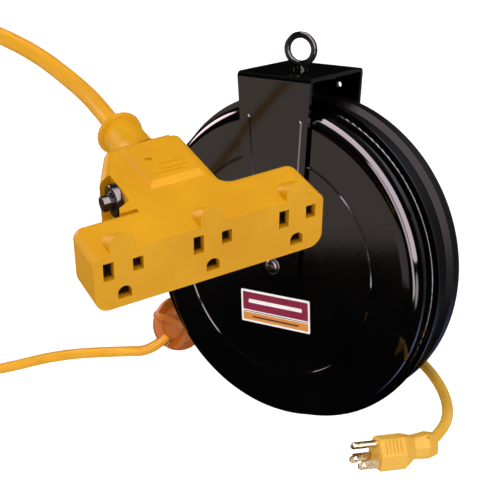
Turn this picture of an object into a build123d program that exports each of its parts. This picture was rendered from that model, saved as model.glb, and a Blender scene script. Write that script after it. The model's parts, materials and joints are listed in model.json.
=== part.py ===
from build123d import *
import math
import os

os.makedirs("parts", exist_ok=True)

# ---------------------------------------------------------------- driving dimensions (mm)
# Frame: origin at the centre of the hanging eye, +Z up, the reel's axle runs along Y.
AX = -159.7            # height of the axle below the eye's centre
Y_FACE = -31.55        # front face of the front shell
Y_BACK = 31.55         # back face of the rear shell
Y_SEAM = -8.45         # joint between the two shells
R_SHELL = 121.0        # cylindrical wall, outside
R_FRONT = 122.8        # wall and shoulder of the front shell, outside
R_REAR = 124.3         # widest part of the rear shell, near its back
R_LIP = 128.0          # rolled lip at the seam
T_SHELL = 1.5          # sheet thickness of the shells
R_SHOULDER = 12.0      # rounding between front face and wall
STRAP_IN = 31.85       # inner face of the bracket's two legs
STRAP_OUT = 34.85      # outer face of the legs
Z_TOP = -14.7          # top face of the bracket
W_TOP = 33.0           # half width of the bracket at its top
W_AXLE = 22.7          # half width of the legs at the axle
Z_LEG_END = AX - 12.0  # lower end of the legs
EYE_R = 10.7           # mean radius of the eye
EYE_WIRE = 2.4         # wire radius of the eye and its shank
EYE_TURN = math.radians(12)  # the ring stands turned this much from the axle
R_SHAFT = 6.0
R_CORD = 4.3           # wound cord, radius
R_LEAD = 4.0           # supply lead, radius
R_PULL = 80.0          # radius at which the cord leaves the winding
R_BALL = 23.5          # stop ball
TEETH = 10             # ratchet teeth
OUTLET_PITCH = 39.3    # spacing of the tap's outlets

AXLE = Axis((0, 0, AX), (0, 1, 0))


def at_y(y):
    """Sketch plane facing the front at depth y: local x = +X, local y = +Z above the axle."""
    return Plane(origin=(0, y, AX), x_dir=(1, 0, 0), z_dir=(0, -1, 0))


def side():
    """Sketch plane for turned parts on the axle: local x = +Y, local y = height above the axle."""
    return Plane(origin=(0, 0, AX), x_dir=(0, 1, 0), z_dir=(1, 0, 0))


# line on which the cord leaves the winding: foot point on the winding, direction outwards
PULL = Vector(-0.3981, 0, -0.9173).normalized()
BALL = Vector(-123.1, 0, -242.4)
S_BALL = (BALL - Vector(0, 0, AX)).dot(PULL)
FOOT = BALL - PULL * S_BALL


def pull_plane(s):
    p = FOOT + PULL * s
    return Plane(origin=(p.X, p.Y, p.Z), x_dir=(0, 1, 0), z_dir=(PULL.X, PULL.Y, PULL.Z))


def save(part, name):
    part.label = name
    export_step(part, "parts/" + name + ".step")
    print(name, round(part.volume, 1))


# ================================================================ hanging eye
with BuildPart() as eye_bolt:
    with BuildSketch(Plane(origin=(0, 0, 0), x_dir=(math.cos(EYE_TURN), math.sin(EYE_TURN), 0), z_dir=(0, 0, 1))):
        with Locations((EYE_R, 0)):
            Circle(EYE_WIRE)
    revolve(axis=Axis((0, 0, 0), (-math.sin(EYE_TURN), math.cos(EYE_TURN), 0)))
    with BuildSketch(Plane.XY.offset(-27)):
        Circle(EYE_WIRE)
    extrude(amount=27 - EYE_R)
save(eye_bolt.part, "eye_bolt")

with BuildPart() as eye_washer_top:
    with BuildSketch(Plane.XY.offset(-14.4)):
        Circle(5.6)
        Circle(EYE_WIRE + 0.02, mode=Mode.SUBTRACT)
    extrude(amount=0.9)
    fillet(eye_washer_top.edges().filter_by(GeomType.CIRCLE).sort_by(Axis.Z)[-1:], 0.2)
save(eye_washer_top.part, "eye_washer_top")

with BuildPart() as eye_washer_lower:
    with BuildSketch(Plane.XY.offset(-19.2)):
        Circle(8.0)
        Circle(EYE_WIRE + 0.02, mode=Mode.SUBTRACT)
    extrude(amount=1.2)
save(eye_washer_lower.part, "eye_washer_lower")

with BuildPart() as eye_nut:
    with BuildSketch(Plane.XY.offset(-24.2)):
        RegularPolygon(radius=5.5, side_count=6)
        Circle(EYE_WIRE + 0.02, mode=Mode.SUBTRACT)
    extrude(amount=5.0)
save(eye_nut.part, "eye_nut")

# ================================================================ bracket
with BuildPart() as bracket:
    with BuildSketch(Plane.YZ):
        with BuildLine():
            Polyline(
                (-STRAP_OUT, Z_LEG_END), (-STRAP_OUT, Z_TOP), (STRAP_OUT, Z_TOP), (STRAP_OUT, Z_LEG_END),
                (STRAP_IN, Z_LEG_END), (STRAP_IN, Z_TOP - 3), (-STRAP_IN, Z_TOP - 3), (-STRAP_IN, Z_LEG_END),
                close=True,
            )
        make_face()
    extrude(amount=W_TOP + 5, both=True)
    outer = bracket.edges().filter_by(Axis.X).filter_by(lambda e: abs(abs(e.center().Y) - STRAP_OUT) < 0.1 and abs(e.center().Z - Z_TOP) < 0.1)
    fillet(outer, 4.0)
    inner = bracket.edges().filter_by(Axis.X).filter_by(lambda e: abs(abs(e.center().Y) - STRAP_IN) < 0.1 and abs(e.center().Z - (Z_TOP - 3)) < 0.1)
    fillet(inner, 1.2)
    with BuildSketch(Plane(origin=(0, 0, 0), x_dir=(1, 0, 0), z_dir=(0, -1, 0))) as front_view:
        with BuildLine():
            Polyline(
                (-W_TOP, Z_TOP + 1), (W_TOP, Z_TOP + 1), (W_TOP, Z_TOP), (W_AXLE, AX), (W_AXLE, Z_LEG_END),
                (-W_AXLE, Z_LEG_END), (-W_AXLE, AX), (-W_TOP, Z_TOP), close=True,
            )
        make_face()
        low = front_view.vertices().sort_by(Axis.Y)[:2]
        fillet(low, 10.0)
    extrude(amount=60, both=True, mode=Mode.INTERSECT)
    # two pressed beads run down each leg, a fixed distance inside its edges
    for sy in (-1, 1):
        for sx in (-1, 1):
            top = (sx * 23.4, 114.0)
            bottom = (sx * 16.4, 16.0)
            mid = ((top[0] + bottom[0]) / 2, (top[1] + bottom[1]) / 2)
            length = math.hypot(top[0] - bottom[0], top[1] - bottom[1])
            tilt = math.degrees(math.atan2(top[1] - bottom[1], top[0] - bottom[0]))
            face = Plane(origin=(0, sy * STRAP_OUT, AX), x_dir=(sx, 0, 0), z_dir=(0, sy, 0))
            if sy < 0:
                face = Plane(origin=(0, -STRAP_OUT, AX), x_dir=(1, 0, 0), z_dir=(0, -1, 0))
                centre, turn = mid, tilt
            else:
                face = Plane(origin=(0, STRAP_OUT, AX), x_dir=(-1, 0, 0), z_dir=(0, 1, 0))
                centre, turn = (-mid[0], mid[1]), 180 - tilt
            with BuildSketch(face):
                with Locations(Location((centre[0], centre[1], 0), (0, 0, turn))):
                    SlotOverall(length, 4.4)
            extrude(amount=0.9, taper=35)
    # holes: eye shank, axle screws, two small holes high in the rear leg
    with BuildSketch(Plane.XY.offset(Z_TOP + 1)):
        Circle(EYE_WIRE + 0.05)
    extrude(amount=-6, mode=Mode.SUBTRACT)
    with BuildSketch(at_y(-40)):
        Circle(2.6)
    extrude(amount=-80, mode=Mode.SUBTRACT)
    with BuildSketch(at_y(40)):
        with Locations((13.5, 130.5), (-13.5, 130.5)):
            Circle(2.2)
    extrude(amount=12, mode=Mode.SUBTRACT)
save(bracket.part, "bracket")

for name, sgn in (("front", -1), ("rear", 1)):
    base = STRAP_OUT
    with BuildPart() as washer:
        with BuildSketch(side()):
            with BuildLine():
                Polyline((sgn * base, 2.6), (sgn * base, 6.5), (sgn * (base + 0.9), 6.5), (sgn * (base + 1.2), 6.2), (sgn * (base + 1.2), 2.6), close=True)
            make_face()
        revolve(axis=AXLE)
    save(washer.part, name + "_washer")
    h0, h1 = base + 1.2, base + 4.2
    with BuildPart() as screw:
        with BuildSketch(side()):
            with BuildLine():
                Polyline((sgn * 20, 0), (sgn * 20, 2.45), (sgn * h0, 2.45), (sgn * h0, 5.2), (sgn * (h0 + 1.3), 5.2))
                ThreePointArc((sgn * (h0 + 1.3), 5.2), (sgn * (h1 - 0.45), 3.6), (sgn * h1, 0))
                Line((sgn * h1, 0), (sgn * 20, 0))
            make_face()
        revolve(axis=AXLE)
        with BuildSketch(at_y(sgn * (h1 + 1))):
            Rectangle(5.6, 1.1)
            Rectangle(1.1, 5.6)
        extrude(amount=sgn * 3.0 * 1.0, mode=Mode.SUBTRACT)
    save(screw.part, name + "_screw")

with BuildPart() as shaft:
    with BuildSketch(side()):
        with BuildLine():
            Polyline((-STRAP_IN, 2.5), (-STRAP_IN, R_SHAFT), (STRAP_IN, R_SHAFT), (STRAP_IN, 2.5), (18, 2.5), (18, 0), (-18, 0), (-18, 2.5), close=True)
        make_face()
    revolve(axis=AXLE)
save(shaft.part, "shaft")

# ================================================================ housing
with BuildPart() as front_shell:
    with BuildSketch(side()):
        with BuildLine():
            Polyline((Y_SEAM, R_LIP), (Y_SEAM - 0.9, R_LIP), (Y_SEAM - 0.9, R_FRONT + 0.8))
            ThreePointArc((Y_SEAM - 0.9, R_FRONT + 0.8), (Y_SEAM - 1.134, R_FRONT + 0.234), (Y_SEAM - 1.7, R_FRONT))
            Line((Y_SEAM - 1.7, R_FRONT), (Y_FACE + R_SHOULDER, R_FRONT))
            a = R_SHOULDER * (1 - math.sqrt(0.5))
            ThreePointArc((Y_FACE + R_SHOULDER, R_FRONT), (Y_FACE + a, R_FRONT - a), (Y_FACE, R_FRONT - R_SHOULDER))
            Polyline(
                (Y_FACE, R_FRONT - R_SHOULDER), (Y_FACE, 86.5), (Y_FACE + 0.75, 85.75), (Y_FACE + 0.75, 85.05), (Y_FACE, 84.3),
                (Y_FACE, 9.0), (Y_FACE + T_SHELL, 9.0), (Y_FACE + T_SHELL, R_FRONT - R_SHOULDER),
            )
            b = (R_SHOULDER - T_SHELL) * (1 - math.sqrt(0.5))
            ThreePointArc((Y_FACE + T_SHELL, R_FRONT - R_SHOULDER), (Y_FACE + T_SHELL + b, R_FRONT - T_SHELL - b), (Y_FACE + R_SHOULDER, R_FRONT - T_SHELL))
            Polyline((Y_FACE + R_SHOULDER, R_FRONT - T_SHELL), (Y_SEAM, R_FRONT - T_SHELL), (Y_SEAM, R_LIP))
        make_face()
    revolve(axis=AXLE)
    # opening for the cord guide
    with BuildSketch(pull_plane(60)):
        Circle(13.05)
    extrude(amount=70, mode=Mode.SUBTRACT)
    # room for the stop ball where the lip would meet it
    with Locations((BALL.X, BALL.Y, BALL.Z)):
        Sphere(R_BALL + 1.0, mode=Mode.SUBTRACT)
    # two small dimples in the face
    with BuildSketch(at_y(Y_FACE - 1)):
        with Locations((47.1, 46.9), (47.1, 12.7)):
            Circle(0.9)
    extrude(amount=-1.5, mode=Mode.SUBTRACT)
save(front_shell.part, "front_shell")

with BuildPart() as rear_shell:
    with BuildSketch(side()):
        with BuildLine():
            Polyline((Y_SEAM, R_SHELL - T_SHELL), (Y_SEAM, R_LIP), (Y_SEAM + 0.9, R_LIP), (Y_SEAM + 0.9, R_SHELL + 0.8))
            ThreePointArc((Y_SEAM + 0.9, R_SHELL + 0.8), (Y_SEAM + 1.134, R_SHELL + 0.234), (Y_SEAM + 1.7, R_SHELL))
            Polyline((Y_SEAM + 1.7, R_SHELL), (14.0, R_SHELL), (19.0, R_REAR), (Y_BACK - 5, R_REAR))
            a = 5 * (1 - math.sqrt(0.5))
            ThreePointArc((Y_BACK - 5, R_REAR), (Y_BACK - a, R_REAR - a), (Y_BACK, R_REAR - 5))
            Polyline((Y_BACK, R_REAR - 5), (Y_BACK, 9.0), (Y_BACK - T_SHELL, 9.0), (Y_BACK - T_SHELL, R_REAR - 5))
            b = (5 - T_SHELL) * (1 - math.sqrt(0.5))
            ThreePointArc((Y_BACK - T_SHELL, R_REAR - 5), (Y_BACK - T_SHELL - b, R_REAR - T_SHELL - b), (Y_BACK - 5, R_REAR - T_SHELL))
            Polyline((Y_BACK - 5, R_REAR - T_SHELL), (19.5, R_REAR - T_SHELL), (14.5, R_SHELL - T_SHELL), (Y_SEAM, R_SHELL - T_SHELL))
        make_face()
    revolve(axis=AXLE)
    with BuildSketch(pull_plane(60)):
        Circle(13.05)
    extrude(amount=70, mode=Mode.SUBTRACT)
    with Locations((BALL.X, BALL.Y, BALL.Z)):
        Sphere(R_BALL + 1.0, mode=Mode.SUBTRACT)
save(rear_shell.part, "rear_shell")

for name, sgn in (("front", -1), ("rear", 1)):
    with BuildPart() as bushing:
        with BuildSketch(side()):
            with BuildLine():
                Polyline((sgn * 31.5, R_SHAFT + 0.05), (sgn * 31.5, 8.95), (sgn * 30.05, 8.95), (sgn * 30.05, 14.0), (sgn * 27.2, 14.0), (sgn * 27.2, R_SHAFT + 0.05), close=True)
            make_face()
        revolve(axis=AXLE)
    save(bushing.part, name + "_bushing")

with BuildPart() as label_plate:
    with BuildSketch(at_y(Y_FACE)):
        with Locations(Location((0, -36.8, 0), (0, 0, 1.9))):
            RectangleRounded(64.4, 26.0, 1.0)
    extrude(amount=0.25)
save(label_plate.part, "label_plate")

with BuildPart() as cord_guide:
    with BuildSketch(Plane(origin=(FOOT.X, FOOT.Y, FOOT.Z), x_dir=(PULL.X, PULL.Y, PULL.Z), z_dir=(0, 1, 0))):
        with BuildLine():
            Polyline((80, 6.8), (80, 13.0), (102.0, 13.0), (103.0, 12.0), (103.0, 9.6), (98.5, 6.3), (84, 6.3), close=True)
        make_face()
    revolve(axis=Axis((FOOT.X, FOOT.Y, FOOT.Z), (PULL.X, PULL.Y, PULL.Z)))
save(cord_guide.part, "cord_guide")

# supply lead: junction cover on the rear wall, strain relief, lead, plug
BOX_X0, BOX_X1, BOX_Z0, BOX_Z1, BOX_Y1 = 5.0, 55.0, -92.0, -62.0, 47.0
with BuildPart() as lead_box:
    with BuildSketch(at_y(Y_BACK)):
        with Locations(((BOX_X0 + BOX_X1) / 2, (BOX_Z0 + BOX_Z1) / 2)):
            RectangleRounded(BOX_X1 - BOX_X0, BOX_Z1 - BOX_Z0, 5)
    extrude(amount=-(BOX_Y1 - Y_BACK))
    fillet(lead_box.faces().sort_by(Axis.Y)[-1].edges(), 2.5)
    with BuildSketch(at_y(Y_BACK)):
        with Locations(((BOX_X0 + BOX_X1) / 2, (BOX_Z0 + BOX_Z1) / 2)):
            RectangleRounded(BOX_X1 - BOX_X0 - 5, BOX_Z1 - BOX_Z0 - 5, 3)
    extrude(amount=-(BOX_Y1 - Y_BACK - 2.5), mode=Mode.SUBTRACT)
    with BuildSketch(Plane.YZ.offset(BOX_X1 + 1)):
        with Locations((39.5, AX - 77)):
            Circle(6.5)
    extrude(amount=-6, mode=Mode.SUBTRACT)
    with BuildSketch(at_y(BOX_Y1 + 1)):
        with Locations((12, -77), (30, -67.5)):
            Circle(1.7)
    extrude(amount=6, mode=Mode.SUBTRACT)
save(lead_box.part, "lead_box")

with BuildPart() as lead_box_screws:
    for sx, sz in ((12, -77), (30, -67.5)):
        with BuildSketch(at_y(BOX_Y1 + 1.6)):
            with Locations((sx, sz)):
                Circle(3.0)
        extrude(amount=1.6)
        with BuildSketch(at_y(BOX_Y1)):
            with Locations((sx, sz)):
                Circle(1.65)
        extrude(amount=BOX_Y1 - Y_BACK)
save(lead_box_screws.part, "lead_box_screws")

with BuildPart() as lead_strain_relief:
    with BuildSketch(Plane(origin=(0, 39.5, AX - 77), x_dir=(1, 0, 0), z_dir=(0, -1, 0))):
        with BuildLine():
            Polyline(
                (50.0, 0), (50.0, 4.8), (52.3, 4.8), (52.3, 6.4), (55.2, 6.4), (55.2, 7.6), (57.5, 7.6), (59, 6.7), (62, 6.6), (62, 5.9),
                (64, 5.9), (64, 6.4), (67, 6.3), (67, 5.6), (69, 5.6), (69, 6.1), (72, 6.0), (72, 5.3), (74, 5.3), (74, 5.8), (77, 5.7), (78, 5.1), (82, 4.8), (82, 0), close=True,
            )
        make_face()
    revolve(axis=Axis((0, 39.5, AX - 77), (1, 0, 0)))
save(lead_strain_relief.part, "lead_strain_relief")


def cord_tube(points, radius, name):
    """Straight runs joined by tangent arcs, swept with a round section."""
    pts = [Vector(*p) for p in points]
    radii = []
    for i in range(1, len(pts) - 1):
        u, v = pts[i] - pts[i - 1], pts[i + 1] - pts[i]
        turn = math.radians(u.get_angle(v))
        radii.append(0.45 * min(u.length, v.length) / math.tan(turn / 2))
    print(name, "radii", [round(r, 1) for r in radii])
    with BuildPart() as tube:
        with BuildLine() as path:
            FilletPolyline(*[tuple(p) for p in pts], radius=radii)
        wire = path.wires()[0]
        with BuildSketch(Plane(origin=wire @ 0, z_dir=wire % 0)):
            Circle(radius)
        sweep(path=wire)
    ideal = math.pi * radius ** 2 * wire.length
    print(name, "length", round(wire.length, 1), "volume ratio", round(tube.part.volume / ideal, 5))
    return tube.part


LEAD_ROUTE = [
    (60.0, 39.5, -236.7), (84.0, 39.5, -237.3), (101.6, 32.0, -242.8), (119.7, 15.8, -245.6), (134.8, -2.3, -247.6),
    (146.2, -21.7, -248.7), (152.2, -39.9, -250.1), (152.0, -58.2, -254.2), (144.5, -75.0, -254.4),
]
save(cord_tube(LEAD_ROUTE, R_LEAD, "lead_cord"), "lead_cord")

PO = Vector(130.8, -96.05, -258.5)      # centre of the plug's face, midway between its blades
PX = Vector(0.862, -0.505, 0.044).normalized()
PZ = Vector(0.0, 0.086, 0.996)
PZ = (PZ - PX * PZ.dot(PX)).normalized()
PY = PZ.cross(PX)


def plug_plane(y):
    """Across the plug at depth y behind its face: local x along the blade pair, local y towards the ground pin."""
    p = PO + PY * y
    return Plane(origin=(p.X, p.Y, p.Z), x_dir=(PX.X, PX.Y, PX.Z), z_dir=(-PY.X, -PY.Y, -PY.Z))


# house-shaped sections of the plug: half width, bottom, shoulder, top, half width of the top, corner radius
PLUG_BODY = (10.2, -5.6, 5.6, 16.2, 4.4, 2.6)
PLUG_WAIST = (7.2, -0.6, 7.6, 14.4, 3.4, 2.6)
PLUG_SWELL = (8.0, -1.4, 7.8, 16.0, 3.9, 3.2)
PLUG_END = (6.8, 0.4, 7.8, 14.6, 3.4, 2.8)
with BuildPart() as plug_body:
    with BuildSketch(plug_plane(0)) as section:
        half, low, mid, high, top, r = PLUG_BODY
        with BuildLine():
            Polyline((-half, low), (half, low), (half, mid), (top, high), (-top, high), (-half, mid), close=True)
        make_face()
        fillet(section.vertices(), r)
    extrude(amount=-19.5)
    fillet(plug_body.edges().filter_by(lambda e: abs((e.center() - PO).dot(PY)) < 0.05), 0.8)
    for y0, first, y1, last in ((19.5, PLUG_BODY, 27.5, PLUG_WAIST), (27.5, PLUG_WAIST, 38.5, PLUG_SWELL), (38.5, PLUG_SWELL, 45.5, PLUG_END)):
        for y, shape in ((y0, first), (y1, last)):
            with BuildSketch(plug_plane(y)) as section:
                half, low, mid, high, top, r = shape
                with BuildLine():
                    Polyline((-half, low), (half, low), (half, mid), (top, high), (-top, high), (-half, mid), close=True)
                make_face()
                fillet(section.vertices(), r)
        loft()
    # grip grooves on the two sloping sides
    half, low, mid, high, top, r = PLUG_BODY
    for y in (3.4, 6.2, 9.0, 11.8, 14.6):
        with BuildSketch(plug_plane(y)):
            for sx in (-1, 1):
                slope = math.degrees(math.atan2(high - mid, sx * (top - half)))
                with Locations(Location((sx * (half + top) / 2, (mid + high) / 2, 0), (0, 0, slope))):
                    Rectangle(8.6, 1.2)
        extrude(amount=-1.3, mode=Mode.SUBTRACT)
    # two small blind holes in the neck, on its sloping side
    for y in (28.6, 37.9):
        n = (PX * 0.62 + PZ * 0.785).normalized()
        c = PO + PY * y + PZ * 7.4 + n * 7.0
        with BuildSketch(Plane(origin=tuple(c), x_dir=tuple(PY), z_dir=tuple(n))):
            Ellipse(1.15, 0.8)
        extrude(amount=6, mode=Mode.SUBTRACT)
    # pockets for the blades and the pin
    with BuildSketch(plug_plane(0)):
        with Locations((-6.35, 0), (6.35, 0)):
            Rectangle(1.55, 6.4)
        with Locations((0, 11.9)):
            Circle(2.13)
    extrude(amount=-8, mode=Mode.SUBTRACT)
save(plug_body.part, "plug_body")

with BuildPart() as plug_blades:
    for sx in (-1, 1):
        blade_plane = Plane(origin=tuple(PO + PX * (sx * 6.35)), x_dir=(-PY.X, -PY.Y, -PY.Z), z_dir=tuple(PX))
        with BuildSketch(blade_plane):
            with BuildLine():
                Polyline((-7.8, -3.175), (14.6, -3.175), (15.9, -1.9), (15.9, 1.9), (14.6, 3.175), (-7.8, 3.175), close=True)
            make_face()
            with Locations((11.7, 0)):
                Circle(1.6, mode=Mode.SUBTRACT)
        extrude(amount=0.76, both=True)
save(plug_blades.part, "plug_blades")

with BuildPart() as plug_ground_pin:
    pin_plane = Plane(origin=tuple(PO + PZ * 11.9), x_dir=(-PY.X, -PY.Y, -PY.Z), z_dir=tuple(PX))
    with BuildSketch(pin_plane):
        with BuildLine():
            Polyline((-7.8, 0), (-7.8, 2.1), (0, 2.1), (0, 2.4), (17.0, 2.4))
            CenterArc((17.0, 0), 2.4, 0, 90)
            Line((19.4, 0), (-7.8, 0))
        make_face()
    revolve(axis=Axis(tuple(PO + PZ * 11.9), tuple(PY)))
save(plug_ground_pin.part, "plug_ground_pin")

# ================================================================ drum
with BuildPart() as drum_hub:
    with BuildSketch(side()):
        with BuildLine():
            Polyline((-16, 38), (-16, 40), (18, 40), (18, R_SHAFT + 0.06), (15, R_SHAFT + 0.06), (15, 38), close=True)
        make_face()
    revolve(axis=AXLE)
    with BuildSketch(at_y(18.5)):
        with PolarLocations(30, 3):
            Circle(1.5)
    extrude(amount=5, mode=Mode.SUBTRACT)
save(drum_hub.part, "drum_hub")

with BuildPart() as spring_cover:
    with BuildSketch(side()):
        with BuildLine():
            Polyline((-16, R_SHAFT + 0.06), (-16, 37.95), (-14, 37.95), (-14, R_SHAFT + 0.06), close=True)
        make_face()
    revolve(axis=AXLE)
    with BuildSketch(at_y(-13)):
        with PolarLocations(24, 3):
            Circle(1.5)
    extrude(amount=5, mode=Mode.SUBTRACT)
save(spring_cover.part, "spring_cover")

for name, y0, y1, rr in (("front", -17.5, -16.0, 24), ("rear", 18.0, 19.5, 30)):
    with BuildPart() as flange:
        with BuildSketch(side()):
            with BuildLine():
                Polyline((y0, 20), (y0, 99.2), (y0 + 0.75, 100), (y1, 99.2), (y1, 20), close=True)
            make_face()
        revolve(axis=AXLE)
        with BuildSketch(at_y(y1 + 1)):
            with PolarLocations(rr, 3):
                Circle(1.5)
        extrude(amount=5, mode=Mode.SUBTRACT)
        with BuildSketch(at_y(y1 + 1)):
            with PolarLocations(88, 6, start_angle=30):
                Circle(7.0)
        extrude(amount=5, mode=Mode.SUBTRACT)
    save(flange.part, "drum_" + name + "_flange")

with BuildPart() as ratchet_wheel:
    pts = []
    for k in range(TEETH):
        a0 = 163.5 + k * 360 / TEETH
        for ang, rad in ((a0, 28.5), (a0 + 1.0, 34.0), (a0 + 3.5, 33.6), (a0 + 24.0, 28.5)):
            pts.append((rad * math.cos(math.radians(ang)), rad * math.sin(math.radians(ang))))
    with BuildSketch(at_y(-17.5)):
        with BuildLine():
            Polyline(*pts, close=True)
        make_face()
        Circle(12.0, mode=Mode.SUBTRACT)
        with PolarLocations(24, 3):
            Circle(1.5, mode=Mode.SUBTRACT)
    extrude(amount=4.0)
save(ratchet_wheel.part, "ratchet_wheel")

with BuildPart() as drum_rivets:
    for k in range(3):
        ang = math.radians(120 * k)
        for r_at, y0, y1 in ((24.0, -22.4, -13.1), (30.0, 14.2, 20.4)):
            c = (r_at * math.cos(ang), r_at * math.sin(ang))
            with BuildSketch(at_y(y1)):
                with Locations(c):
                    Circle(1.49)
            extrude(amount=y1 - y0)
            if r_at < 25:
                heads = ((-21.5, 0.9), (-13.1, 0.9))
            else:
                heads = ((15.0, 0.8), (20.4, 0.9))
            for yh, th in heads:
                with BuildSketch(at_y(yh)):
                    with Locations(c):
                        Circle(2.6)
                extrude(amount=th)
save(drum_rivets.part, "drum_rivets")

with BuildPart() as power_spring:
    turns, n, t = 9, 24, 0.9
    r_a, r_b = 9.0, 36.0
    out, back_ = [], []
    for i in range(turns * n + 1):
        ang = 2 * math.pi * i / n
        rad = r_a + (r_b - r_a) * i / (turns * n)
        out.append(((rad + t / 2) * math.cos(ang), (rad + t / 2) * math.sin(ang)))
        back_.append(((rad - t / 2) * math.cos(ang), (rad - t / 2) * math.sin(ang)))
    with BuildSketch(at_y(12.5)):
        with BuildLine():
            Polyline(*(out + back_[::-1]), close=True)
        make_face()
    extrude(amount=24)
save(power_spring.part, "power_spring")

with BuildPart() as slip_ring_disc:
    with BuildSketch(side()):
        with BuildLine():
            Polyline((18.0, 14), (18.0, 19.9), (20.6, 19.9), (20.6, 38), (23.4, 38), (23.4, 14), close=True)
        make_face()
    revolve(axis=AXLE)
save(slip_ring_disc.part, "slip_ring_disc")

with BuildPart() as slip_rings:
    for r0 in (16.0, 23.0, 30.0):
        with BuildSketch(side()):
            with BuildLine():
                Polyline((23.4, r0), (23.4, r0 + 3.4), (24.1, r0 + 3.4), (24.1, r0), close=True)
            make_face()
        revolve(axis=AXLE)
save(slip_rings.part, "slip_rings")

with BuildPart() as brush_holder:
    with BuildSketch(at_y(30.05)):
        with Locations((0, -25)):
            Rectangle(10, 21.6)
    extrude(amount=4.2)
    with BuildSketch(at_y(30.0)):
        with Locations((0, -17.7), (0, -24.7), (0, -31.7)):
            Circle(1.8)
    extrude(amount=6, mode=Mode.SUBTRACT)
save(brush_holder.part, "brush_holder")

with BuildPart() as brushes:
    for z in (-17.7, -24.7, -31.7):
        with BuildSketch(at_y(27.9)):
            with Locations((0, z)):
                Circle(1.72)
        extrude(amount=3.4)
save(brushes.part, "brushes")

with BuildPart() as brush_springs:
    for z in (-17.7, -24.7, -31.7):
        with BuildSketch(at_y(30.0)):
            with Locations((0, z)):
                Circle(1.5)
                Circle(1.0, mode=Mode.SUBTRACT)
        extrude(amount=2.1)
save(brush_springs.part, "brush_springs")

QX, QZ = 46 * math.cos(math.radians(125)), 46 * math.sin(math.radians(125))
TIPX, TIPZ = 35.3 * math.cos(math.radians(162.4)), 35.3 * math.sin(math.radians(162.4))
with BuildPart() as pawl_pin:
    with BuildSketch(at_y(-22.0)):
        with Locations((QX, QZ)):
            Circle(4.0)
    extrude(amount=8.05)
    with BuildSketch(at_y(-18.0)):
        with Locations((QX, QZ)):
            Circle(2.5)
    extrude(amount=4.5)
save(pawl_pin.part, "pawl_pin")

with BuildPart() as pawl:
    ux, uz = (TIPX - QX), (TIPZ - QZ)
    ul = math.hypot(ux, uz)
    ux, uz = ux / ul, uz / ul
    nx, nz = -uz, ux
    with BuildSketch(at_y(-18.4)):
        with BuildLine():
            Polyline(
                (QX + 4.2 * nx, QZ + 4.2 * nz), (TIPX + 1.3 * nx - 3 * ux, TIPZ + 1.3 * nz - 3 * uz), (TIPX + 0.4 * nx, TIPZ + 0.4 * nz),
                (TIPX - 1.6 * nx, TIPZ - 1.6 * nz), (QX - 4.2 * nx, QZ - 4.2 * nz), close=True,
            )
        make_face()
        with Locations((QX, QZ)):
            Circle(4.9)
            Circle(2.55, mode=Mode.SUBTRACT)
    extrude(amount=3.2)
save(pawl.part, "pawl")

with BuildPart() as pawl_spring:
    # a leaf fixed to the shell above the pin presses on the pawl's outer edge
    with BuildSketch(at_y(-19.0)):
        with BuildLine():
            a0 = (QX - 5.4 * nx + 4 * ux, QZ - 5.4 * nz + 4 * uz)
            a1 = (QX - 3.6 * nx + 14 * ux, QZ - 3.6 * nz + 14 * uz)
            Polyline(
                a0, a1, (a1[0] - 0.5 * nx, a1[1] - 0.5 * nz), (a0[0] - 0.5 * nx, a0[1] - 0.5 * nz),
                (a0[0] - 6 * nx - 0.5 * ux, a0[1] - 6 * nz - 0.5 * uz), (a0[0] - 6 * nx - 1.0 * ux, a0[1] - 6 * nz - 1.0 * uz), (a0[0] - 0.6 * ux, a0[1] - 0.6 * uz), close=True,
            )
        make_face()
    extrude(amount=2.0)
    with BuildSketch(at_y(-19.0)):
        with Locations((a0[0] - 7.5 * nx - 0.8 * ux, a0[1] - 7.5 * nz - 0.8 * uz)):
            Circle(2.2)
    extrude(amount=11.05)
save(pawl_spring.part, "pawl_spring")

with BuildPart() as cord_winding:
    with BuildSketch(side()):
        with BuildLine():
            Polyline((-15.9, 40.05), (-15.9, 74.0), (-14.0, R_PULL - R_CORD - 0.3), (16.0, R_PULL - R_CORD - 0.3), (17.9, 74.0), (17.9, 40.05), close=True)
        make_face()
    revolve(axis=AXLE)
save(cord_winding.part, "cord_winding")

# ================================================================ cord end: straight stretch, ball, free cord, tap
with BuildPart() as inner_cord:
    with BuildSketch(pull_plane(-20)):
        Circle(R_CORD)
    extrude(amount=S_BALL - 12 + 20)
save(inner_cord.part, "inner_cord")

V1 = Vector(-0.466, -0.737, 0.441)
V2 = Vector(-0.089, -0.463, -0.8755).normalized()
V1 = (V1 - V2 * V1.dot(V2)).normalized()
V3 = V1.cross(V2)
OUT = Vector(-0.222, -0.735, -0.641).normalized()


SPLIT = PULL.cross(OUT).normalized()     # the ball's halves meet in the plane that holds the cord's bend
ACROSS = (OUT - PULL).normalized()       # in that plane, across the cord


def ball_plane(z, offset=0.0):
    x = V2 if abs(z.dot(V2)) < 0.5 else V1
    p = BALL + z * offset
    return Plane(origin=(p.X, p.Y, p.Z), x_dir=(x.X, x.Y, x.Z), z_dir=(z.X, z.Y, z.Z))


def split_plane(across=0.0):
    p = BALL + ACROSS * across
    return Plane(origin=(p.X, p.Y, p.Z), x_dir=(ACROSS.X, ACROSS.Y, ACROSS.Z), z_dir=(SPLIT.X, SPLIT.Y, SPLIT.Z))


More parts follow.
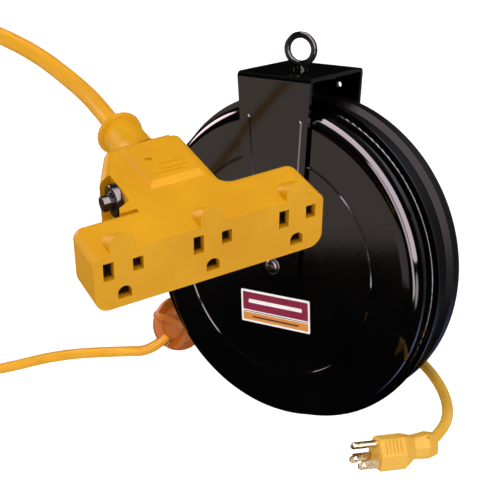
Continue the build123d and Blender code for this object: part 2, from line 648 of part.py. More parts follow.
for half, sgn in (("left", 1), ("right", -1)):
    with BuildPart() as stop:
        with Locations((BALL.X, BALL.Y, BALL.Z)):
            Sphere(17.0)
        for nrm in (V1, V2, V3):
            with BuildSketch(ball_plane(nrm, -2.4)):
                Circle(R_BALL)
            extrude(amount=4.8)
        with Locations((BALL.X, BALL.Y, BALL.Z)):
            Sphere(R_BALL, mode=Mode.INTERSECT)
        # channel for the cord: in along the pull line, out towards the front
        with BuildSketch(pull_plane(S_BALL - 30)):
            Circle(R_CORD + 0.1)
        extrude(amount=30, mode=Mode.SUBTRACT)
        with BuildSketch(Plane(origin=(BALL.X, BALL.Y, BALL.Z), z_dir=(OUT.X, OUT.Y, OUT.Z))):
            Circle(R_CORD + 0.1)
        extrude(amount=30, mode=Mode.SUBTRACT)
        # screw holes, one each side of the cord
        for so in (-1, 1):
            with BuildSketch(split_plane(so * 11.0).offset(-8)):
                Circle(1.6)
            extrude(amount=30, mode=Mode.SUBTRACT)
            with BuildSketch(split_plane(so * 11.0).offset(7)):
                Circle(3.1)
            extrude(amount=20, mode=Mode.SUBTRACT)
        split(bisect_by=split_plane(), keep=Keep.TOP if sgn > 0 else Keep.BOTTOM)
    save(stop.part, "stop_ball_" + half)

with BuildPart() as stop_ball_screws:
    for so in (-1, 1):
        with BuildSketch(split_plane(so * 11.0).offset(-7.5)):
            Circle(1.55)
        extrude(amount=15)
        with BuildSketch(split_plane(so * 11.0).offset(7.1)):
            Circle(3.0)
        extrude(amount=1.9)
save(stop_ball_screws.part, "stop_ball_screws")

CORD_ROUTE = [
    (-123.1, 0.0, -242.4), (-130.0, -22.9, -262.3), (-148.5, -50.6, -258.2), (-188.0, -81.2, -260.7), (-226.0, -117.2, -272.7),
    (-262.0, -164.2, -272.7), (-287.0, -219.2, -251.7), (-289.0, -275.2, -209.7), (-270.0, -322.2, -157.7), (-231.0, -353.2, -99.7),
    (-176.0, -364.2, -41.7), (-113.0, -359.2, 6.3), (-46.0, -345.2, 40.3), (8.0, -332.2, 54.8), (55.5, -325.6, 42.3),
    (100.0, -333.6, 26.8), (124.7, -343.4, 18.1), (153.9, -357.2, 7.5),
]
save(cord_tube(CORD_ROUTE, R_CORD, "tap_cord"), "tap_cord")

TO = Vector(229.49, -392.96, -19.99)    # centre of the middle outlet on the tap's face
TX = Vector(0.4403, 0.8854, 0.1489).normalized()
TZ = Vector(0.2156, -0.2653, 0.9398)
TZ = (TZ - TX * TZ.dot(TX)).normalized()
TY = TZ.cross(TX)                       # into the body, towards the cord


def tap_point(x, y, z):
    p = TO + TX * x + TY * y + TZ * z
    return (p.X, p.Y, p.Z)


def tap_face(y=0.0):
    """Parallel to the tap's face at depth y: local x along the outlets, local y up."""
    return Plane(origin=tap_point(0, y, 0), x_dir=tuple(TX), z_dir=tuple(-TY))


def tap_top(z=0.0):
    """Parallel to the tap's top at height z: local x along the outlets, local y into the body."""
    return Plane(origin=tap_point(0, 0, z), x_dir=tuple(TX), z_dir=tuple(TZ))


def tap_local(v):
    d = v - TO
    return (d.dot(TX), d.dot(TY), d.dot(TZ))


def near(v, x=None, y=None, z=None, tol=0.6):
    a = tap_local(v)
    return all(w is None or abs(a[i] - w) < tol for i, w in enumerate((x, y, z)))


XL, XR = 52.0, 51.6
ZB, ZT = -13.0, 14.2
with BuildPart() as tap_body:
    with BuildSketch(tap_top(ZB)):
        with BuildLine():
            Polyline(
                (-XL, 0), (XR, 0), (XR, 27.2), (18.6, 27.2), (18.6, 71.9), (-17.2, 71.9), (-28.2, 50.9), (-22.8, 51.9),
                (-22.8, 24.8), (-XL, 24.8), close=True,
            )
        make_face()
    extrude(amount=ZT - ZB)
    up = tap_body.edges().filter_by(Axis((0, 0, 0), tuple(TZ)))
    fillet([e for e in up if near(e.center(), 18.6, 27.2)], 4.5)
    fillet([e for e in tap_body.edges().filter_by(Axis((0, 0, 0), tuple(TZ))) if near(e.center(), 18.6, 71.9) or near(e.center(), -17.2, 71.9)], 4.0)
    fillet([e for e in tap_body.edges().filter_by(Axis((0, 0, 0), tuple(TZ))) if near(e.center(), XR, 27.2) or near(e.center(), -XL, 24.8)], 5.0)
    ends = [e for e in tap_body.edges().filter_by(Axis((0, 0, 0), tuple(TY))) if abs(abs(tap_local(e.center())[0]) - XL) < 0.6]
    fillet([e for e in ends if tap_local(e.center())[2] < 0], 6.0)
    ends = [e for e in tap_body.edges().filter_by(Axis((0, 0, 0), tuple(TY))) if abs(abs(tap_local(e.center())[0]) - XL) < 0.6]
    fillet([e for e in ends if tap_local(e.center())[2] > 0], 4.5)
    # gusset in the corner under the breaker
    with BuildSketch(tap_top(-7.0)):
        with BuildLine():
            Polyline((-30.1, 24.0), (-28.9, 27.5), (-22.7, 30.9), (-22.0, 24.0), close=True)
        make_face()
    extrude(amount=ZT + 7.0)
    # finger bosses: round-topped tongues over the outlets, sloping back into the top
    for k in (-1, 0, 1):
        for yy, zc in ((0.0, 17.8), (14.5, 8.6)):
            with BuildSketch(tap_face(yy)):
                with BuildLine():
                    Line((k * OUTLET_PITCH - 5.2, 5.0), (k * OUTLET_PITCH + 5.2, 5.0))
                    Line((k * OUTLET_PITCH + 5.2, 5.0), (k * OUTLET_PITCH + 5.2, zc))
                    ThreePointArc((k * OUTLET_PITCH + 5.2, zc), (k * OUTLET_PITCH, zc + 5.2), (k * OUTLET_PITCH - 5.2, zc))
                    Line((k * OUTLET_PITCH - 5.2, zc), (k * OUTLET_PITCH - 5.2, 5.0))
                make_face()
        loft()
    # raised pad with bevelled edges on the stem
    with BuildSketch(tap_top(ZT)):
        with Locations((0.65, 52.0)):
            Rectangle(24.9, 36.0)
    with BuildSketch(tap_top(ZT + 1.5)):
        with Locations((1.25, 52.4)):
            Rectangle(22.0, 29.2)
    loft()
    with BuildSketch(tap_top(ZT + 1.5)):
        with Locations((-0.5, 41.6)):
            Rectangle(13.5, 0.6)
        with Locations((3.6, 44.6)):
            Rectangle(12.5, 1.8)
        with Locations((4.6, 48.0)):
            Rectangle(11.5, 0.6)
    extrude(amount=0.3)
    with BuildSketch(tap_top(ZT + 0.6)):
        with Locations((-4.3, 53.2)):
            Circle(1.7)
    extrude(amount=3, mode=Mode.SUBTRACT)
    # cavities for the contact carrier and for the breaker
    with BuildSketch(tap_face(3.2)):
        with Locations((0, 0.6)):
            Rectangle(97.0, 21.0)
    extrude(amount=-19.8, mode=Mode.SUBTRACT)
    with BuildSketch(tap_top(-9.9)):
        with Locations((-1.2, 43.75)):
            Rectangle(35.2, 41.7)
    extrude(amount=21.0, mode=Mode.SUBTRACT)
    # outlet openings
    for k in (-1, 0, 1):
        xo = k * OUTLET_PITCH
        with BuildSketch(tap_face(-1)):
            with Locations((xo - 6.35, 5.95)):
                Rectangle(4.6, 8.7)
            with Locations((xo + 6.35, 5.95)):
                Rectangle(4.6, 6.5)
            with Locations((xo, -7.5)):
                Rectangle(6.0, 3.0)
            with Locations((xo, -6.0)):
                Circle(3.0)
        extrude(amount=-5, mode=Mode.SUBTRACT)
    # hole for the breaker's threaded neck
    with BuildSketch(Plane(origin=tap_point(-30, 43.5, 6.6), x_dir=tuple(TY), z_dir=tuple(TX))):
        Circle(4.45)
    extrude(amount=12.5, mode=Mode.SUBTRACT)
save(tap_body.part, "tap_body")

with BuildPart() as tap_core:
    with BuildSketch(tap_face(3.25)):
        with Locations((0, 0.6)):
            Rectangle(96.8, 20.8)
    extrude(amount=-19.5)
    for k in (-1, 0, 1):
        xo = k * OUTLET_PITCH
        with BuildSketch(tap_face(2)):
            with Locations((xo - 6.35, 5.95)):
                Rectangle(4.6, 8.7)
            with Locations((xo + 6.35, 5.95)):
                Rectangle(4.6, 6.5)
            with Locations((xo, -7.5)):
                Rectangle(6.0, 3.0)
            with Locations((xo, -6.0)):
                Circle(3.0)
        extrude(amount=-18, mode=Mode.SUBTRACT)
    # channels for the three bus bars
    with BuildSketch(tap_face(19.5)):
        with Locations((0, 4.2)):
            Rectangle(96, 3.6)
        with Locations((0, 8.1)):
            Rectangle(96, 3.8)
        with Locations((0, -6.0)):
            Rectangle(96, 3.8)
    extrude(amount=-2.0, mode=Mode.SUBTRACT)
    # lead holes from the channels to the back
    with BuildSketch(tap_face(20)):
        with Locations((-8, 8.1), (-2, 4.2), (4, -6.0)):
            Circle(1.5)
    extrude(amount=-6, mode=Mode.SUBTRACT)
save(tap_core.part, "tap_core")

for name, z0, h, xs, gap, zc, hh in (
    ("hot_bus", 4.2, 3.2, 6.35, 1.6, 4.3, 2.6),
    ("neutral_bus", 8.1, 3.3, -6.35, 1.6, 8.1, 3.2),
    ("ground_bus", -6.0, 3.4, 0.0, 2.4, -6.3, 3.0),
):
    with BuildPart() as bus:
        with BuildSketch(tap_face(20.2)):
            with Locations((0, z0)):
                Rectangle(95.4, h)
        extrude(amount=-1.0)
        for k in (-1, 0, 1):
            for so in (-1, 1):
                with BuildSketch(tap_face(6.5)):
                    with Locations((k * OUTLET_PITCH + xs + so * gap, zc)):
                        Rectangle(0.6, hh)
                extrude(amount=-14.0)
    save(bus.part, name)

with BuildPart() as tap_leads:
    for x, z, y1 in ((-8, 8.1, 36.0), (-2, 4.2, 36.0), (4, -6.0, 60.0)):
        with BuildSketch(tap_face(21.2)):
            with Locations((x, z)):
                Circle(1.3)
        extrude(amount=-(y1 - 21.2))
save(tap_leads.part, "tap_leads")

with BuildPart() as breaker_body:
    with BuildSketch(tap_face(36.5)):
        with Locations((-9.2, 3.2)):
            RectangleRounded(19.0, 15.0, 1.5)
    extrude(amount=-14.0)
    with BuildSketch(Plane(origin=tap_point(-27.0, 43.5, 6.6), x_dir=tuple(TY), z_dir=tuple(TX))):
        Circle(4.4)
    extrude(amount=8.8)
    with BuildSketch(Plane(origin=tap_point(-27.2, 43.5, 6.6), x_dir=tuple(TY), z_dir=tuple(TX))):
        Circle(3.55)
    extrude(amount=16.0, mode=Mode.SUBTRACT)
save(breaker_body.part, "breaker_body")

with BuildPart() as breaker_collar:
    with BuildSketch(Plane(origin=tap_point(-26.3, 43.5, 6.6), x_dir=tuple(TY), z_dir=tuple(TX))):
        Circle(7.4)
        Circle(4.42, mode=Mode.SUBTRACT)
    extrude(amount=3.35)
    fillet([e for e in breaker_collar.edges() if near(e.center(), x=-26.3, tol=0.2) and e.length > 40], 0.8)
save(breaker_collar.part, "breaker_collar")

with BuildPart() as breaker_button:
    with BuildSketch(Plane(origin=tap_point(-30.6, 43.5, 6.6), x_dir=tuple(TY), z_dir=tuple(TX))):
        Circle(3.5)
    extrude(amount=15.5)
    fillet([e for e in breaker_button.edges() if near(e.center(), x=-30.6, tol=0.3)], 0.5)
save(breaker_button.part, "breaker_button")

with BuildPart() as tap_neck:
    nx0 = 2.4
    with BuildSketch(Plane(origin=tap_point(nx0, 0, 0.4), x_dir=tuple(TY), z_dir=tuple(TZ))):
        with BuildLine():
            Line((71.9, 0), (71.9, 13.2))
            ThreePointArc((71.9, 13.2), (77.0, 10.6), (85.0, 9.4))
            Polyline((85.0, 9.4), (99.2, 9.2), (99.7, 10.6), (102.0, 10.9), (102.8, 10.3), (102.8, 5.4), (101.8, 4.35), (101.8, 0), (71.9, 0))
        make_face()
    revolve(axis=Axis(tap_point(nx0, 0, 0.4), tuple(TY)))
save(tap_neck.part, "tap_neck")
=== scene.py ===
import bpy
import bmesh
import json
import math
import random
from mathutils import Vector, Matrix, Quaternion


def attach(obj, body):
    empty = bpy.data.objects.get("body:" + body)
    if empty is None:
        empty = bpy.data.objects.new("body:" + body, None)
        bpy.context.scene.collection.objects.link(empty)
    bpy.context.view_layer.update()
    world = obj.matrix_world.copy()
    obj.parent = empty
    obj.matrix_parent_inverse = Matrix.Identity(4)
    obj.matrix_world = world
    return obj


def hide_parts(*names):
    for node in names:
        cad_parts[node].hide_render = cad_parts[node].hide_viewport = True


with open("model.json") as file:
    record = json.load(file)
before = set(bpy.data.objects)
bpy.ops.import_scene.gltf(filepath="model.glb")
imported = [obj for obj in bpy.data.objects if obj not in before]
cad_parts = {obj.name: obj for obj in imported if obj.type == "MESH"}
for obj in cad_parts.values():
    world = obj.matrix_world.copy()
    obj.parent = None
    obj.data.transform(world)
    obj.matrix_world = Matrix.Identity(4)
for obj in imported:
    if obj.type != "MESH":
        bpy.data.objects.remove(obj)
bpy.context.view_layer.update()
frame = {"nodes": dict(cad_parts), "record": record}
nodes = frame["nodes"]
random.seed(7)
scene = bpy.context.scene
scene.view_settings.view_transform = "Standard"
scene.view_settings.look = "None"

MM = 0.001
AX = -159.7 * MM

# ------------------------------------------------------------------ camera
AZ, EL, ROLL = math.radians(37.0), math.radians(16.8), math.radians(-0.2)
back = Vector((math.sin(AZ) * math.cos(EL), -math.cos(AZ) * math.cos(EL), math.sin(EL)))
right = Vector((math.cos(AZ), math.sin(AZ), 0))
up = back.cross(right)
cr = right * math.cos(ROLL) + up * math.sin(ROLL)
cu = up * math.cos(ROLL) - right * math.sin(ROLL)
cam_data = bpy.data.cameras.new("camera")
cam = bpy.data.objects.new("camera", cam_data)
scene.collection.objects.link(cam)
cam.matrix_world = Matrix((
    (cr.x, cu.x, back.x, 0.54208),
    (cr.y, cu.y, back.y, -0.78279),
    (cr.z, cu.z, back.z, 0.13186),
    (0, 0, 0, 1),
))
cam_data.sensor_width = 36.0
cam_data.lens = 92.17
cam_data.clip_start = 0.02
cam_data.clip_end = 200
scene.camera = cam


# ------------------------------------------------------------------ material helpers
def new_mat(name):
    m = bpy.data.materials.new(name)
    m.use_nodes = True
    nt = m.node_tree
    bsdf = nt.nodes["Principled BSDF"]
    return m, nt, bsdf


def tex_object(nt, scale=(1, 1, 1), rotation=(0, 0, 0)):
    co = nt.nodes.new("ShaderNodeTexCoord")
    mp = nt.nodes.new("ShaderNodeMapping")
    mp.inputs["Scale"].default_value = scale
    mp.inputs["Rotation"].default_value = rotation
    nt.links.new(co.outputs["Object"], mp.inputs["Vector"])
    return mp.outputs["Vector"]


def noise(nt, vec, scale, detail=3.0, rough=0.5, distortion=0.0):
    n = nt.nodes.new("ShaderNodeTexNoise")
    n.inputs["Scale"].default_value = scale
    n.inputs["Detail"].default_value = detail
    n.inputs["Roughness"].default_value = rough
    n.inputs["Distortion"].default_value = distortion
    nt.links.new(vec, n.inputs["Vector"])
    return n.outputs["Fac"]


def ramp(nt, fac, stops):
    r = nt.nodes.new("ShaderNodeValToRGB")
    cr_ = r.color_ramp
    while len(cr_.elements) < len(stops):
        cr_.elements.new(0.5)
    for e, (p, c) in zip(cr_.elements, stops):
        e.position = p
        e.color = (*c, 1) if len(c) == 3 else c
    nt.links.new(fac, r.inputs["Fac"])
    return r.outputs["Color"]


def remap(nt, fac, a, b, lo, hi):
    r = nt.nodes.new("ShaderNodeMapRange")
    r.inputs["From Min"].default_value = a
    r.inputs["From Max"].default_value = b
    r.inputs["To Min"].default_value = lo
    r.inputs["To Max"].default_value = hi
    nt.links.new(fac, r.inputs["Value"])
    return r.outputs["Result"]


def math_node(nt, op, a, b=None, c=None):
    n = nt.nodes.new("ShaderNodeMath")
    n.operation = op
    for i, v in enumerate((a, b, c)):
        if v is None:
            continue
        if isinstance(v, (int, float)):
            n.inputs[i].default_value = v
        else:
            nt.links.new(v, n.inputs[i])
    return n.outputs[0]


def mix_rgb(nt, fac, a, b, blend="MIX"):
    n = nt.nodes.new("ShaderNodeMix")
    n.data_type = "RGBA"
    n.blend_type = blend
    for sock, v in ((n.inputs[0], fac), (n.inputs[6], a), (n.inputs[7], b)):
        if isinstance(v, (int, float)):
            sock.default_value = v
        elif isinstance(v, tuple):
            sock.default_value = (*v, 1) if len(v) == 3 else v
        else:
            nt.links.new(v, sock)
    return n.outputs[2]


def bump(nt, bsdf, height, strength, distance, normal=None):
    b = nt.nodes.new("ShaderNodeBump")
    b.inputs["Strength"].default_value = strength
    b.inputs["Distance"].default_value = distance
    nt.links.new(height, b.inputs["Height"])
    if normal is not None:
        nt.links.new(normal, b.inputs["Normal"])
    if bsdf is not None:
        nt.links.new(b.outputs["Normal"], bsdf.inputs["Normal"])
    return b.outputs["Normal"]


def plastic(name, base, dark, rough=0.42, grain=900.0, bump_d=0.00004, coat=0.0, spec=0.5, patch=30.0):
    m, nt, b = new_mat(name)
    vec = tex_object(nt)
    cloud = noise(nt, vec, patch, 4.0, 0.55)
    col = ramp(nt, cloud, [(0.3, dark), (0.7, base)])
    fine = noise(nt, vec, grain, 2.0, 0.6)
    col = mix_rgb(nt, remap(nt, fine, 0.3, 0.7, 0.0, 0.12), col, dark)
    nt.links.new(col, b.inputs["Base Color"])
    r = math_node(nt, "ADD", remap(nt, cloud, 0.3, 0.7, rough - 0.05, rough + 0.04), remap(nt, fine, 0.3, 0.7, -0.03, 0.03))
    nt.links.new(r, b.inputs["Roughness"])
    b.inputs["Specular IOR Level"].default_value = spec
    b.inputs["Coat Weight"].default_value = coat
    b.inputs["Coat Roughness"].default_value = 0.2
    bump(nt, b, fine, 0.5, bump_d)
    return m


def metal(name, base, dark, rough=0.3, brushed=(1, 1, 1), patch=60.0):
    m, nt, b = new_mat(name)
    vec = tex_object(nt, brushed)
    cloud = noise(nt, tex_object(nt), patch, 5.0, 0.6)
    fine = noise(nt, vec, 700.0, 3.0, 0.6)
    col = ramp(nt, cloud, [(0.3, dark), (0.65, base)])
    nt.links.new(col, b.inputs["Base Color"])
    b.inputs["Metallic"].default_value = 1.0
    r = math_node(nt, "ADD", remap(nt, cloud, 0.3, 0.7, rough + 0.08, rough - 0.04), remap(nt, fine, 0.3, 0.7, -0.06, 0.06))
    nt.links.new(r, b.inputs["Roughness"])
    bump(nt, b, fine, 0.4, 0.00003)
    return m


def enamel(name, rough=0.055, spec=0.5):
    m, nt, b = new_mat(name)
    vec = tex_object(nt)
    cloud = noise(nt, vec, 18.0, 5.0, 0.6)
    fine = noise(nt, vec, 420.0, 3.0, 0.6)
    peel = noise(nt, vec, 160.0, 2.0, 0.5)
    col = ramp(nt, cloud, [(0.3, (0.0007, 0.0006, 0.0006)), (0.7, (0.0014, 0.0012, 0.0012))])
    nt.links.new(col, b.inputs["Base Color"])
    r = math_node(nt, "ADD", remap(nt, cloud, 0.3, 0.7, rough, rough + 0.03), remap(nt, fine, 0.35, 0.75, -0.01, 0.02))
    nt.links.new(r, b.inputs["Roughness"])
    b.inputs["IOR"].default_value = 1.5
    b.inputs["Specular IOR Level"].default_value = spec
    bump(nt, b, peel, 0.25, 0.00003)
    return m


YEL = (0.86, 0.44, 0.018)
YEL_D = (0.74, 0.34, 0.012)
mat_tap = plastic("tap_yellow", (0.635, 0.308, 0.003), (0.565, 0.256, 0.0025), rough=0.42, spec=0.22)
mat_cord = plastic("cord_yellow", (0.71, 0.35, 0.011), (0.62, 0.28, 0.008), rough=0.42, grain=600.0, spec=0.30)
mat_lead = plastic("lead_yellow", (0.74, 0.42, 0.050), (0.64, 0.34, 0.034), rough=0.40, grain=600.0, spec=0.35)
mat_plug = plastic("plug_yellow", (0.74, 0.42, 0.055), (0.62, 0.33, 0.034), rough=0.42, spec=0.35)
mat_ball = plastic("ball_orange", (0.49, 0.138, 0.007), (0.38, 0.088, 0.005), rough=0.40)
mat_core = plastic("core_dark", (0.055, 0.028, 0.012), (0.030, 0.015, 0.008), rough=0.5)
mat_button = plastic("breaker_black", (0.010, 0.010, 0.010), (0.006, 0.006, 0.006), rough=0.16)
mat_enamel = enamel("black_enamel")
mat_satin = enamel("black_enamel_satin", 0.42, 0.12)
mat_zinc = metal("black_zinc", (0.17, 0.165, 0.16), (0.09, 0.088, 0.086), rough=0.28)
mat_steel = metal("plain_steel", (0.50, 0.51, 0.52), (0.34, 0.35, 0.36), rough=0.35)
mat_bronze = metal("bronze", (0.55, 0.38, 0.18), (0.38, 0.25, 0.12), rough=0.35)
mat_brass = metal("nickel_brass", (0.74, 0.60, 0.36), (0.58, 0.46, 0.26), rough=0.24)
mat_copper = metal("copper", (0.72, 0.44, 0.24), (0.50, 0.28, 0.15), rough=0.30)
mat_black = plastic("black_plastic", (0.014, 0.013, 0.013), (0.008, 0.008, 0.008), rough=0.35)
mat_rubber = plastic("black_rubber", (0.016, 0.015, 0.015), (0.009, 0.009, 0.009), rough=0.55)
mat_phenolic = plastic("phenolic", (0.20, 0.09, 0.05), (0.12, 0.05, 0.03), rough=0.45)
mat_carbon = plastic("carbon", (0.03, 0.03, 0.03), (0.02, 0.02, 0.02), rough=0.6)
mat_sleeve = plastic("wire_sleeve", (0.55, 0.55, 0.55), (0.4, 0.4, 0.4), rough=0.4)
mat_label = plastic("label_white", (0.82, 0.81, 0.79), (0.74, 0.72, 0.70), rough=0.3)
mat_maroon = plastic("label_maroon", (0.24, 0.006, 0.040), (0.18, 0.004, 0.030), rough=0.3)
mat_orange = plastic("label_orange", (0.66, 0.26, 0.035), (0.56, 0.20, 0.028), rough=0.3)
mat_line = plastic("label_line", (0.10, 0.03, 0.02), (0.07, 0.02, 0.015), rough=0.35)

SLOT_MAT = {
    "zinc_steel": mat_zinc, "black_enamel": mat_enamel, "inner_steel": mat_steel, "bronze": mat_bronze, "label_print": mat_label,
    "black_plastic": mat_black, "black_rubber": mat_rubber, "yellow_plug": mat_plug, "cord_jacket": mat_cord, "plug_metal": mat_brass,
    "spring_steel": mat_steel, "carbon": mat_carbon, "ring_plastic": mat_phenolic, "copper_alloy": mat_copper,
    "orange_ball": mat_ball, "yellow_tap": mat_tap, "wire_sleeve": mat_sleeve,
}
slot_of = {}
for sp in frame["record"].get("subparts", []):
    slot_of[sp["node"]] = sp["material_slot"]
for name, ob in nodes.items():
    m = SLOT_MAT.get(slot_of.get(name), mat_black)
    if name == "plug_body":
        m = mat_plug
    if name in ("tap_cord", "inner_cord", "cord_winding"):
        m = mat_cord
    if name == "lead_cord":
        m = mat_lead
    if name == "tap_core":
        m = mat_core
    if name in ("breaker_collar", "breaker_button", "breaker_body"):
        m = mat_button
    if name in ("eye_bolt", "eye_washer_top", "eye_washer_lower", "eye_nut"):
        m = mat_enamel
    if name == "rear_shell":
        m = mat_satin
    ob.data.materials.clear()
    ob.data.materials.append(m)
    for p in ob.data.polygons:
        p.material_index = 0


# ------------------------------------------------------------------ cords
def cord_curve(name, pts, dia, mat):
    cu_ = bpy.data.curves.new(name, "CURVE")
    cu_.dimensions = "3D"
    sp = cu_.splines.new("NURBS")
    sp.points.add(len(pts) - 1)
    for p, q in zip(sp.points, pts):
        p.co = (q[0] * MM, q[1] * MM, q[2] * MM, 1)
    sp.order_u = 3
    sp.use_endpoint_u = True
    sp.resolution_u = 16
    cu_.bevel_depth = dia / 2
    cu_.bevel_resolution = 10
    cu_.use_fill_caps = True
    ob = bpy.data.objects.new(name, cu_)
    scene.collection.objects.link(ob)
    cu_.materials.append(mat)
    return ob


CORD_ROUTE = [
    (-123.1, 0.0, -242.4), (-130.0, -22.9, -262.3), (-148.5, -50.6, -258.2), (-188.0, -81.2, -260.7), (-226.0, -117.2, -272.7),
    (-262.0, -164.2, -272.7), (-287.0, -219.2, -251.7), (-289.0, -275.2, -209.7), (-270.0, -322.2, -157.7), (-231.0, -353.2, -99.7),
    (-176.0, -364.2, -41.7), (-113.0, -359.2, 6.3), (-46.0, -345.2, 40.3), (8.0, -332.2, 54.8), (55.5, -325.6, 42.3),
    (100.0, -333.6, 26.8), (124.7, -343.4, 18.1), (153.9, -357.2, 7.5),
]
LEAD_ROUTE = [
    (60.0, 39.5, -236.7), (84.0, 39.5, -237.3), (101.6, 32.0, -242.8), (119.7, 15.8, -245.6), (134.8, -2.3, -247.6),
    (146.2, -21.7, -248.7), (152.2, -39.9, -250.1), (152.0, -58.2, -254.2), (144.5, -75.0, -254.4),
]
tap_cord = cord_curve("tap_cord_jacket", CORD_ROUTE, 0.0086, mat_cord)
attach(tap_cord, "pull")
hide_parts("tap_cord")
lead_cord = cord_curve("lead_cord_jacket", LEAD_ROUTE, 0.0080, mat_lead)
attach(lead_cord, "housing")
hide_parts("lead_cord")

# ------------------------------------------------------------------ printed label: plain blocks on the plate
LABEL_TURN = math.radians(1.9)


def label_block(name, x, z, w, h, lift, mat):
    """Flat block w by h on the label plate, centre x, z from the plate's centre, its face lift in front of the plate."""
    me = bpy.data.meshes.new(name)
    bm = bmesh.new()
    bmesh.ops.create_cube(bm, size=1.0)
    bmesh.ops.scale(bm, vec=(w * MM, lift * MM, h * MM), verts=bm.verts)
    bmesh.ops.bevel(bm, geom=[e for e in bm.edges if abs(e.verts[0].co.y - e.verts[1].co.y) > 1e-6], offset=0.25 * MM, segments=3, affect="EDGES")
    bm.to_mesh(me)
    bm.free()
    ob = bpy.data.objects.new(name, me)
    scene.collection.objects.link(ob)
    c, s_ = math.cos(LABEL_TURN), math.sin(LABEL_TURN)
    ob.matrix_world = Matrix.Translation((MM * (x * c - z * s_), (-31.8 - lift / 2 + 0.01) * MM, AX + MM * (-36.8 + x * s_ + z * c))) @ Matrix.Rotation(-LABEL_TURN, 4, "Y")
    me.materials.append(mat)
    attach(ob, "housing")
    return ob


label_block("label_upper", 0, 4.0, 61.2, 14.4, 0.06, mat_maroon)
label_block("label_upper_bar", 0, 4.2, 50.0, 3.0, 0.10, mat_label)
label_block("label_rule", 0, -4.5, 61.2, 0.6, 0.06, mat_line)
label_block("label_lower", 0, -8.4, 61.2, 6.0, 0.06, mat_orange)
label_block("label_lower_bar", 0, -8.4, 44.0, 1.3, 0.10, mat_line)

# ------------------------------------------------------------------ stage and light
def quad(name, cx, cy, cz, sx, sy, mat, rot=(0, 0, 0)):
    me = bpy.data.meshes.new(name)
    me.from_pydata([(-sx, -sy, 0), (sx, -sy, 0), (sx, sy, 0), (-sx, sy, 0)], [], [(0, 1, 2, 3)])
    ob = bpy.data.objects.new(name, me)
    scene.collection.objects.link(ob)
    ob.location = (cx, cy, cz)
    ob.rotation_euler = rot
    me.materials.append(mat)
    return ob


m_floor, nt, b = new_mat("floor_white")
vec = tex_object(nt)
pale = ramp(nt, noise(nt, vec, 0.8, 3.0), [(0.3, (0.93, 0.93, 0.93)), (0.7, (0.96, 0.96, 0.96))])
nt.links.new(pale, b.inputs["Base Color"])
nt.links.new(pale, b.inputs["Emission Color"])
b.inputs["Emission Strength"].default_value = 0.56
b.inputs["Roughness"].default_value = 0.9
floor = quad("floor", 0, 0, -0.95, 60, 60, m_floor)
floor.visible_glossy = False


def area(name, loc, target, sx, sy, power, color=(1, 1, 1)):
    li = bpy.data.lights.new(name, "AREA")
    li.shape = "RECTANGLE"
    li.size = sx
    li.size_y = sy
    li.energy = power
    li.color = color
    ob = bpy.data.objects.new(name, li)
    scene.collection.objects.link(ob)
    ob.location = loc
    d = Vector(target) - Vector(loc)
    ob.rotation_mode = "QUATERNION"
    ob.rotation_quaternion = d.to_track_quat("-Z", "Y")
    ob.visible_camera = False
    ob.visible_glossy = False
    return ob


area("key_top", (0.9, -1.6, 2.2), (0, -0.1, -0.15), 1.4, 1.4, 46, (1.0, 0.98, 0.95))
area("fill_left", (-2.2, -1.4, 0.6), (0, -0.1, -0.15), 1.6, 1.6, 5, (1.0, 0.99, 0.98))
area("rim_right", (1.8, 0.2, 0.7), (0, 0, -0.15), 0.6, 1.2, 6, (0.93, 0.96, 1.0))

world = bpy.data.worlds.new("studio")
scene.world = world
world.use_nodes = True
nt = world.node_tree
nt.nodes.clear()
out = nt.nodes.new("ShaderNodeOutputWorld")
bg = nt.nodes.new("ShaderNodeBackground")
nt.links.new(bg.outputs[0], out.inputs[0])
geo = nt.nodes.new("ShaderNodeTexCoord")
DIR = geo.outputs["Generated"]
sep = nt.nodes.new("ShaderNodeSeparateXYZ")
nt.links.new(DIR, sep.inputs[0])
lp = nt.nodes.new("ShaderNodeLightPath")
wob = noise(nt, DIR, 9.0, 4.0, 0.6)


def dot_with(v):
    n = nt.nodes.new("ShaderNodeVectorMath")
    n.operation = "DOT_PRODUCT"
    nt.links.new(DIR, n.inputs[0])
    n.inputs[1].default_value = v
    return n.outputs["Value"]


def smooth(val, a, b):
    n = nt.nodes.new("ShaderNodeMapRange")
    n.interpolation_type = "SMOOTHSTEP"
    n.inputs["From Min"].default_value = a
    n.inputs["From Max"].default_value = b
    nt.links.new(val, n.inputs["Value"])
    return n.outputs["Result"]


def mul(a, b):
    return math_node(nt, "MULTIPLY", a, b)


def glow(total, mask, colour):
    return mix_rgb(nt, mask, total, colour)


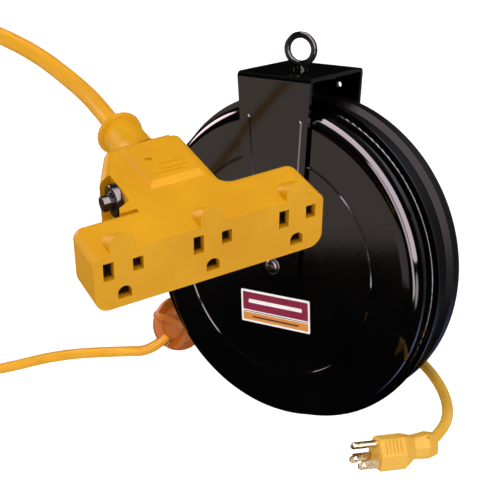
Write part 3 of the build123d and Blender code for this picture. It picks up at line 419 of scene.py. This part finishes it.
# soft box low on the left: fills the upper half of the case's front, with a ragged lower edge
elev = math_node(nt, "ADD", sep.outputs["Z"], remap(nt, wob, 0.3, 0.7, -0.012, 0.012))
low_box = mul(mul(smooth(elev, -0.296, -0.284), math_node(nt, "SUBTRACT", 1.0, smooth(elev, 0.02, 0.10))), smooth(dot_with((-0.6, -0.8, 0.0)), 0.45, 0.62))
soft = mix_rgb(nt, smooth(elev, 0.55, 0.95), (0.004, 0.004, 0.004), (0.10, 0.10, 0.10))
soft = glow(soft, low_box, (0.92, 0.76, 0.68))
# pale room behind the reel, seen in the turned wall
behind = mul(smooth(sep.outputs["Y"], 0.55, 0.70), smooth(sep.outputs["X"], -0.16, 0.10))
room_col = ramp(nt, remap(nt, sep.outputs["Z"], -1, 1, 0, 1), [(0.10, (0.35, 0.48, 0.95)), (0.22, (0.45, 0.60, 1.05)), (0.31, (0.16, 0.17, 0.22)), (0.42, (0.18, 0.18, 0.19)), (0.62, (0.40, 0.40, 0.44)), (0.76, (0.95, 0.95, 1.05)), (0.84, (0.15, 0.15, 0.15))])
soft = glow(soft, behind, room_col)
# long strip on the right, bright: the band on the shoulder
strip = mul(mul(smooth(dot_with((0.6425, 0.7177, 0.2682)), -0.12, -0.09), math_node(nt, "SUBTRACT", 1.0, smooth(dot_with((0.6425, 0.7177, 0.2682)), 0.09, 0.12))), smooth(dot_with((0.680, -0.696, 0.232)), 0.800, 0.825))
soft = glow(soft, strip, (9.0, 7.5, 8.1))
wide = mul(mul(smooth(dot_with((0.260, 0.962, 0.082)), -0.32, -0.28), math_node(nt, "SUBTRACT", 1.0, smooth(dot_with((0.260, 0.962, 0.082)), 0.23, 0.27))), smooth(dot_with((0.572, -0.205, 0.794)), 0.575, 0.605))
soft = glow(soft, wide, (12.0, 10.0, 10.8))
# small lamps: upper left (pinkish), low right
soft = glow(soft, smooth(dot_with((-0.938, 0.037, 0.344)), 0.975, 0.985), (12.0, 8.6, 9.2))
soft = glow(soft, smooth(dot_with((0.913, -0.270, -0.289)), 0.975, 0.988), (5.0, 4.6, 4.6))
flat = mix_rgb(nt, lp.outputs["Is Camera Ray"], (0.52, 0.52, 0.52), (1.0, 1.0, 1.0))
final = mix_rgb(nt, lp.outputs["Is Glossy Ray"], flat, soft)
nt.links.new(final, bg.inputs["Color"])
bg.inputs["Strength"].default_value = 1.0
